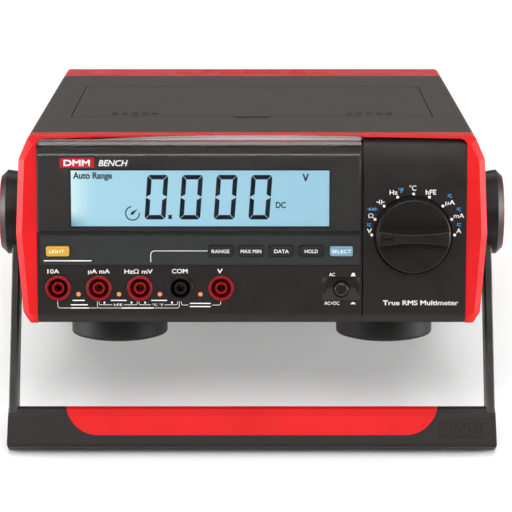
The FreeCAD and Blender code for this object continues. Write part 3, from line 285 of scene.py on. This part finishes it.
# ------------------------------------------------------------ flat printing on a face of the case
def sheet(name, polygons, y, material, body="case"):
    """Flat polygons, given as lists of (x, z) in millimetres, printed at a depth y of the case frame."""
    vertices, faces = [], []
    for polygon in polygons:
        area = sum(a[0] * b[1] - b[0] * a[1] for a, b in zip(polygon, polygon[1:] + polygon[:1]))
        ordered = polygon if area > 0 else polygon[::-1]
        faces.append(list(range(len(vertices), len(vertices) + len(ordered))))
        vertices += [CASE @ Vector((x, y, z)) for x, z in ordered]
    mesh = bpy.data.meshes.new(name)
    mesh.from_pydata(vertices, [], faces)
    mesh.materials.append(material)
    made = bpy.data.objects.new(name, mesh)
    bpy.context.scene.collection.objects.link(made)
    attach(made, body)


def text(name, words, x0, x1, z, height, y=PANEL_Y, material=WHITE, body="case", weight=0.0, shear=0.0):
    """Words between x0 and x1, this high, centred on z. The weight widens every stroke by that much."""
    curve = bpy.data.curves.new(name, "FONT")
    curve.body = words
    curve.shear = shear
    holder = bpy.data.objects.new(name + "_curve", curve)
    bpy.context.scene.collection.objects.link(holder)
    bpy.context.view_layer.update()
    graph = bpy.context.evaluated_depsgraph_get()
    mesh = bpy.data.meshes.new_from_object(holder.evaluated_get(graph))
    bpy.data.objects.remove(holder)
    xs = [v.co.x for v in mesh.vertices]
    ys = [v.co.y for v in mesh.vertices]
    left, middle = min(xs), (min(ys) + max(ys)) / 2
    wide = (x1 - x0 - weight) / (max(xs) - left)
    tall = (height - weight) / (max(ys) - min(ys))
    flat = [(x0 + weight / 2 + (v.co.x - left) * wide, z + (v.co.y - middle) * tall) for v in mesh.vertices]
    polygons = [[flat[i] for i in face.vertices] for face in mesh.polygons]
    if weight:
        sides = Counter(key for face in mesh.polygons for key in face.edge_keys)
        for (i, j), faces in sides.items():
            p, q = Vector(flat[i]), Vector(flat[j])
            if faces == 1 and (q - p).length > 1e-6:
                cap = (q - p).normalized() * weight / 2
                polygons += strip([tuple(p - cap), tuple(q + cap)], weight)
    bpy.data.meshes.remove(mesh)
    sheet(name, polygons, y, material, body)


def block(x0, x1, z0, z1):
    return [(x0, z0), (x1, z0), (x1, z1), (x0, z1)]


def strip(points, width):
    """Quads that follow a line of (x, z) points."""
    quads = []
    for (xa, za), (xb, zb) in zip(points, points[1:]):
        length = math.hypot(xb - xa, zb - za)
        if length < 1e-6:
            continue
        nx, nz = -(zb - za) / length * width / 2, (xb - xa) / length * width / 2
        quads.append([(xa + nx, za + nz), (xa - nx, za - nz), (xb - nx, zb - nz), (xb + nx, zb + nz)])
    return quads


def corner(x, z, radius, start, end, steps=5):
    """Points of an arc, in degrees, for the rounded corner of a line."""
    turns = [math.radians(start + (end - start) * i / steps) for i in range(steps + 1)]
    return [(x + radius * math.cos(a), z + radius * math.sin(a)) for a in turns]


def disc(x, z, radius, steps=20):
    turns = [2 * math.pi * i / steps for i in range(steps)]
    return [(x + radius * math.cos(a), z + radius * math.sin(a)) for a in turns]


LINE = 0.22      # width of the fine printed lines


def bracket(x0, x1, top, bottom, gap, radius):
    """A U-shaped line under two jacks, open between the ends of gap for its words."""
    left = [(x0, top)] + corner(x0 + radius, bottom + radius, radius, 180, 270) + [(gap[0], bottom)]
    right = [(gap[1], bottom)] + corner(x1 - radius, bottom + radius, radius, 270, 360) + [(x1, top)]
    return strip(left, LINE) + strip(right, LINE)


# ------------------------------------------------------------ display
FIGURE_W, FIGURE_H = 10.3, 22.1
FIGURE_X, FIGURE_Z = -52.6, 51.6      # lower left corner of the first figure
FIGURE_PITCH = 16.97
SEGMENT_WIDTH, SEGMENT_GAP, SEGMENT_RADIUS = 2.25, 0.16, 1.5
FIGURE_SLANT = 1.6                    # sideways lean over the figure's height


def zero_segments(x, z):
    """The six segments of a zero from its lower left corner: rounded outside, mitred where they meet."""
    t, w, h, r = SEGMENT_WIDTH, FIGURE_W, FIGURE_H, SEGMENT_RADIUS
    m = h / 2

    def bend(cx, cz, start, end):
        return [(cx + r * math.cos(math.radians(start + (end - start) * k / 3)),
                 cz + r * math.sin(math.radians(start + (end - start) * k / 3))) for k in range(4)]

    shapes = {
        "a": bend(r, h - r, 135, 90) + bend(w - r, h - r, 90, 45) + [(w - t, h - t), (t, h - t)],
        "b": bend(w - r, h - r, 45, 0) + [(w, m), (w - t, m + t * 0.55), (w - t, h - t)],
        "c": [(w, m)] + bend(w - r, r, 0, -45) + [(w - t, t), (w - t, m - t * 0.55)],
        "d": bend(r, r, -135, -90) + bend(w - r, r, -90, -45) + [(w - t, t), (t, t)],
        "e": [(0, m)] + bend(r, r, 180, 225) + [(t, t), (t, m - t * 0.55)],
        "f": bend(r, h - r, 135, 180) + [(0, m), (t, m + t * 0.55), (t, h - t)],
    }
    made = []
    for segment, points in shapes.items():
        lying = segment in "ad"
        heights = [pz for px, pz in points]
        middle = (w if lying else min(heights) + max(heights)) / 2
        shape = []
        for px, pz in points:
            if lying:
                px -= math.copysign(SEGMENT_GAP, px - middle)
            else:
                pz -= math.copysign(SEGMENT_GAP, pz - middle)
            shape.append((x + px + FIGURE_SLANT * pz / h, z + pz))
        made.append(shape)
    return made


def rounded_polygon(points, radius=0.55, steps=3):
    """Rounds the corners of a convex polygon a little."""
    made = []
    for i, here in enumerate(points):
        p, q = Vector(points[i - 1]), Vector(points[(i + 1) % len(points)])
        c = Vector(here)
        a = c + (p - c).normalized() * min(radius, (p - c).length / 3)
        b = c + (q - c).normalized() * min(radius, (q - c).length / 3)
        for k in range(steps + 1):
            f = k / steps
            point = a * (1 - f) ** 2 + c * 2 * f * (1 - f) + b * f ** 2
            made.append((point.x, point.y))
    return made


figures = []
for figure in range(4):
    figures += zero_segments(FIGURE_X + FIGURE_PITCH * figure, FIGURE_Z)
figures.append([(-40.9, 51.8), (-39.2, 51.8), (-39.1, 53.9), (-40.8, 53.9)])       # decimal point
sheet("display_figures", figures, LCD_Y, SEGMENT)

GAUGE_X, GAUGE_Z, GAUGE_R = -58.4, 54.7, 3.4
gauge = strip([(GAUGE_X + GAUGE_R * math.cos(math.radians(a)), GAUGE_Z + GAUGE_R * math.sin(math.radians(a)))
               for a in range(100, 372, 8)], 0.62)
needle = [(-59.5, 53.9), (-58.1, 54.0), (-55.9, 56.8), (-59.0, 55.3)]
sheet("display_gauge", gauge + [needle], LCD_Y, SEGMENT_FINE)
text("display_auto_range", "Auto Range", -87.4, -68.3, 72.9, 4.3, LCD_Y, SEGMENT_FINE, weight=0.26)
text("display_volts", "V", 24.8, 28.0, 72.3, 3.9, LCD_Y, SEGMENT_FINE, weight=0.3)
text("display_dc", "DC", 11.8, 16.8, 58.8, 3.1, LCD_Y, SEGMENT_FINE, weight=0.22)

# dark print on the back of the clear cover, open over the display; it glows a little as painted light,
# standing in for lamp light the cover keeps off it
WINDOW = (-104.6, 53.0, 46.3, 87.4)      # left, right, bottom and top of the print
WINDOW_GAP = 0.2                          # it stops this far outside the display
x0, x1, z0, z1 = WINDOW
a0, a1 = LCD[0] - WINDOW_GAP, LCD[1] + WINDOW_GAP
b0, b1 = LCD[2] - WINDOW_GAP, LCD[3] + WINDOW_GAP
sheet("window_border",
      [block(x0, a0, z0, z1), block(a1, x1, z0, z1), block(a0, a1, z0, b0), block(a0, a1, b1, z1)],
      COVER_Y, SMOKE_INK_WITH_PAINTED_LIGHT)
rim = block(a0, a1, b0, b1)
sheet("window_rim", strip(rim + rim[:1], 0.7), COVER_Y - 0.02, RIM)
sheet("badge", [rounded_polygon(block(-93.8, -76.9, 77.6, 82.4), 0.5)], COVER_Y - 0.04, BADGE_INK_WITH_PAINTED_LIGHT)
text("badge_words", "DMM", -91.8, -78.9, 80.0, 3.1, COVER_Y - 0.08, LEGEND_INK_WITH_PAINTED_LIGHT, weight=0.3)
text("series_words", "BENCH", -74.8, -60.4, 79.9, 3.1, COVER_Y - 0.08, LEGEND_INK_WITH_PAINTED_LIGHT, weight=0.16, shear=0.25)


# ------------------------------------------------------------ keys and legends of the display side
NOTE_H = 1.15      # height of the smallest notes
BAR = 0.5          # width of the plain bars that stand where longer notes would be
KEY_Z = 36.5
KEY_TOP = {"key_light": -1.36, "key_select": -1.36}      # the coloured keys stand higher than the grey ones
GREY_KEY_TOP = -0.86
for key, words, x0, x1, material in (
        ("key_light", "LIGHT", -99.2, -91.8, CREAM), ("key_range", "RANGE", -19.6, -10.9, WHITE),
        ("key_maxmin", "MAX MIN", -5.4, 4.7, WHITE), ("key_serial", "DATA", 11.0, 18.2, WHITE),
        ("key_hold", "HOLD", 26.0, 32.5, WHITE), ("key_select", "SELECT", 39.2, 48.8, WHITE)):
    text(key + "_legend", words, x0, x1, KEY_Z, 1.75, KEY_TOP.get(key, GREY_KEY_TOP), material,
         body=key, weight=0.06)

# the sunken strip's own tint, open round the keys
STRIP_Y = 0.44
STRIP = (-104.1, 53.2, 29.4, 44.3)
KEY_HALF_W, KEY_HALF_H = 5.9, 2.7
left, right, bottom, top = STRIP
key_edges = [left]
for middle in (-95.1, -15.2, -0.35, 14.5, 29.25, 44.0):
    key_edges += [middle - KEY_HALF_W, middle + KEY_HALF_W]
key_edges.append(right)
tinted = [block(a, b, bottom, top) for a, b in zip(key_edges[::2], key_edges[1::2])]
for a, b in zip(key_edges[1:-1:2], key_edges[2:-1:2]):
    tinted += [block(a, b, bottom, KEY_Z - KEY_HALF_H), block(a, b, KEY_Z + KEY_HALF_H, top)]
sheet("key_strip_tint", tinted, STRIP_Y + 0.02, SLATE)

sheet("range_line", strip([(-21.6, KEY_Z), (-47.6, KEY_Z)] + corner(-47.6, KEY_Z - 1.9, 1.9, 90, 180)
                          + [(-49.5, 30.9)], 0.3), STRIP_Y, WHITE)
sheet("light_bar", strip([(-102.0, 31.6), (-78.6, 31.6)], BAR), STRIP_Y, WHITE)

for name, words, x0, x1, z, height in (
        ("label_10a", "10A", -100.3, -94.4, 26.4, 2.2),
        ("label_ma", "µA mA", -80.3, -69.6, 26.2, 2.7), ("label_hz", "HzΩ mV", -62.5, -48.6, 26.4, 2.3),
        ("label_com", "COM", -39.2, -31.4, 26.5, 2.3), ("label_v", "V", -16.9, -14.3, 26.5, 2.3)):
    text(name, words, x0, x1, z, height, weight=0.18)

AMBER_DOT_R = 1.1
sheet("amber_dots", [disc(x, 15.0, AMBER_DOT_R) for x in (-85.1, -65.2, -45.1, -25.2)], PANEL_Y, AMBER)

LINE_Z = 8.1                          # the lowest line of the brackets
lines = strip([(-95.4, 11.6)] + corner(-94.2, LINE_Z + 1.2, 1.2, 180, 270) + [(-89.0, LINE_Z)], LINE)
lines += strip([(-79.4, LINE_Z), (-75.9, LINE_Z)], LINE)
lines += bracket(-75.9, -35.6, 11.4, LINE_Z, (-64.4, -47.6), 1.0)
lines += bracket(-75.0, -56.3, 11.3, 9.7, (-68.6, -62.8), 0.6)
lines += bracket(-55.4, -36.5, 11.3, 9.7, (-49.6, -42.8), 0.6)
lines += strip([(-34.6, 11.3)] + corner(-33.8, 10.4, 0.8, 180, 270) + [(-31.2, 9.6)], LINE)
lines += strip([(-19.4, 9.6)] + corner(-16.1, 10.4, 0.8, 270, 360) + [(-15.3, 11.3)], LINE)
sheet("jack_brackets", lines, PANEL_Y, WHITE)
sheet("polarity_dots", [disc(x, 10.8, 0.5) for x in (-72.4, -59.1, -52.4, -39.2)], PANEL_Y + 0.01, WHITE)
text("note_hfe", "hFE", -67.7, -63.7, 9.7, NOTE_H)
text("note_temperature", "°C °F", -48.9, -43.5, 9.7, NOTE_H)
bars = []
for x0, x1, z in ((-88.0, -82.1, 11.9), (-88.9, -80.6, 9.7), (-88.9, -79.8, 8.1), (-69.2, -61.5, 11.9),
                  (-49.4, -41.6, 11.9), (-64.1, -48.0, 8.1), (-30.4, -20.2, 10.4), (-30.4, -20.2, 8.8)):
    bars += strip([(x0, z), (x1, z)], BAR)
sheet("note_bars", bars, PANEL_Y, WHITE)

text("label_ac", "AC", 38.0, 41.0, 24.8, 1.7, weight=0.08)
text("label_ac_dc", "AC+DC", 35.7, 43.2, 10.5, 1.7, weight=0.08)
sheet("button_out_mark", [[(48.6, 24.0), (51.1, 24.0), (51.0, 24.3), (48.7, 24.3)],
                          [(49.0, 24.3), (50.7, 24.3), (50.5, 25.6), (49.2, 25.6)]], PANEL_Y, WHITE)
sheet("button_in_mark", [[(48.6, 10.0), (51.1, 10.0), (51.0, 10.3), (48.7, 10.3)],
                         [(49.0, 10.3), (50.7, 10.3), (50.3, 11.0), (49.4, 11.0)]], PANEL_Y, WHITE)

# ------------------------------------------------------------ selector legends
KNOB_X, KNOB_Z, DOT_R = 79.1, 44.5, 20.3
POSITIONS, STEP = 9, 22.5            # places of the selector, and the turn between them
dots = []
for i in range(POSITIONS):
    a = math.radians(180 - STEP * i)
    dots.append(disc(KNOB_X + DOT_R * math.cos(a), KNOB_Z + DOT_R * math.sin(a), 0.72))
sheet("selector_dots", dots, PANEL_Y, WHITE)
for name, words, x, z, width, height, material in (
        ("range_volts", "V", 57.6, 46.5, 2.4, 2.3, WHITE), ("range_ohms", "Ω", 58.3, 54.1, 2.6, 2.3, WHITE),
        ("range_hertz", "Hz", 69.3, 65.6, 3.9, 2.3, WHITE),
        ("range_fahrenheit", "°F", 72.8, 66.6, 2.7, 2.5, SKY),
        ("range_celsius", "°C", 78.7, 67.8, 3.4, 2.8, WHITE),
        ("range_gain", "hFE", 87.6, 65.7, 5.2, 2.4, WHITE),
        ("range_microamp", "µA", 97.0, 60.4, 4.7, 2.8, WHITE),
        ("range_milliamp", "mA", 101.4, 54.1, 5.1, 2.2, WHITE),
        ("range_amp", "A", 101.4, 46.6, 2.4, 2.3, WHITE)):
    text(name, words, x - width / 2, x + width / 2, z, height, material=material, weight=0.12)

WAVE_LINE = 0.34
waves = []
for x, z in ((57.5, 49.3), (96.8, 63.7), (101.3, 57.1), (101.4, 49.4)):
    ripple = [(x - 1.0 + 0.1 * k, z - 0.25 + 0.42 * math.sin(2 * math.pi * k / 20)) for k in range(21)]
    waves += strip([(x - 1.0, z + 0.75), (x + 1.0, z + 0.75)], WAVE_LINE) + strip(ripple, WAVE_LINE)
sheet("range_wave_marks", waves, PANEL_Y, SKY)
cap_x, cap_z = 63.0, 60.8
sheet("range_capacitor", strip([(cap_x - 2.0, cap_z), (cap_x - 0.5, cap_z)], 0.4)
      + strip([(cap_x - 0.5, cap_z - 1.1), (cap_x - 0.5, cap_z + 1.1)], 0.4)
      + strip([(cap_x + 0.5, cap_z - 1.1), (cap_x + 0.5, cap_z + 1.1)], 0.4)
      + strip([(cap_x + 0.5, cap_z), (cap_x + 2.0, cap_z)], 0.4), PANEL_Y, WHITE)
diode_x, diode_z = 59.1, 57.3
sheet("range_diode", strip([(diode_x - 2.7, diode_z), (diode_x + 2.6, diode_z)], 0.3)
      + [[(diode_x - 0.1, diode_z - 0.9), (diode_x + 1.4, diode_z), (diode_x - 0.1, diode_z + 0.9)]]
      + strip([(diode_x + 1.5, diode_z - 0.9), (diode_x + 1.5, diode_z + 0.9)], 0.35)
      + [[(diode_x - 1.0, diode_z - 0.9), (diode_x - 2.3, diode_z), (diode_x - 1.0, diode_z + 0.9)]],
      PANEL_Y, SKY)
text("front_title", "True RMS Multimeter", 64.5, 101.6, 10.7, 2.5, weight=0.2)

# ------------------------------------------------------------ studio
floor_mesh = bpy.data.meshes.new("floor")
FLOOR_HALF = 6
floor_mesh.from_pydata([(x, y, 0) for x, y in block(-FLOOR_HALF, FLOOR_HALF, -FLOOR_HALF, FLOOR_HALF)],
                       [], [(0, 1, 2, 3)])
floor = bpy.data.objects.new("floor", floor_mesh)
bpy.context.scene.collection.objects.link(floor)
floor_paint = Nodes("pale_floor")
floor_bsdf = floor_paint.add("ShaderNodeBsdfPrincipled")
floor_paint.link(floor_paint.blend(floor_paint.noise(3.0, 2.0), (0.86, 0.86, 0.86, 1), (0.90, 0.90, 0.90, 1)),
                 floor_bsdf.inputs["Base Color"])
floor_bsdf.inputs["Roughness"].default_value = 0.9
floor_paint.link(floor_bsdf.outputs["BSDF"], floor_paint.output.inputs["Surface"])
floor_mesh.materials.append(floor_paint.material)

world = bpy.data.worlds.new("studio")
world.use_nodes = True
sky = world.node_tree
direction = sky.nodes.new("ShaderNodeTexCoord")
toward = sky.nodes.new("ShaderNodeVectorMath")
toward.operation = "DOT_PRODUCT"
toward.inputs[1].default_value = (0.0, 0.6, 0.5)      # brighter behind and above than in front
brightness = sky.nodes.new("ShaderNodeMapRange")
for key, number in (("From Min", -0.15), ("From Max", 0.7), ("To Min", 0.04), ("To Max", 0.45)):
    brightness.inputs[key].default_value = number
sky.links.new(direction.outputs["Generated"], toward.inputs[0])
sky.links.new(toward.outputs["Value"], brightness.inputs["Value"])
sky.links.new(brightness.outputs["Result"], sky.nodes["Background"].inputs["Strength"])
bpy.context.scene.world = world
bpy.context.scene.view_settings.view_transform = "Standard"


def soft_light(name, location, target, size, watts, size_y=None):
    data = bpy.data.lights.new(name, "AREA")
    data.shape = "RECTANGLE"
    data.size, data.size_y = size, size_y or size
    data.energy = watts
    lamp = bpy.data.objects.new(name, data)
    lamp.location = location
    lamp.rotation_euler = (Vector(target) - Vector(location)).to_track_quat("-Z", "Y").to_euler()
    bpy.context.scene.collection.objects.link(lamp)


soft_light("top_softbox", (0.0, -0.3, 1.5), (0, 0, 0.05), 1.6, 15, 0.9)
soft_light("front_softbox", (0.0, -1.2, 1.15), (0, -0.1, 0.1), 1.3, 15, 0.45)
soft_light("left_softbox", (-1.3, -0.8, 0.6), (0, 0, 0.1), 0.8, 7, 0.8)
soft_light("right_softbox", (1.3, -0.8, 0.6), (0, 0, 0.1), 0.8, 9, 0.8)
soft_light("left_low_strip", (-1.1, 0.0, 0.16), (0, 0, 0.0), 1.1, 16, 0.26)
soft_light("right_low_strip", (1.1, 0.0, 0.16), (0, 0, 0.0), 1.1, 16, 0.26)
soft_light("backdrop_softbox", (0.0, 1.7, 1.2), (0, 1.8, 0), 2.4, 22, 1.4)

# ------------------------------------------------------------ camera
PITCH = math.radians(10.029)      # between the line of sight and the top of the case
EYE = Vector((2.12, -1366.4, 275.7))
FOCAL_SHARE = 2830 / 512          # focal length over picture width
camera_data = bpy.data.cameras.new("camera")
SENSOR = 36.0
camera_data.sensor_width = SENSOR
camera_data.lens = SENSOR * FOCAL_SHARE
camera_data.clip_start, camera_data.clip_end = 0.05, 30.0
camera = bpy.data.objects.new("camera", camera_data)
bpy.context.scene.collection.objects.link(camera)
forward = Vector((0, math.cos(PITCH), -math.sin(PITCH)))
turn = Matrix.Rotation(-TILT, 3, "X")
camera.location = CASE @ EYE
camera.rotation_euler = (turn @ forward).to_track_quat("-Z", "Y").to_euler()
bpy.context.scene.camera = camera
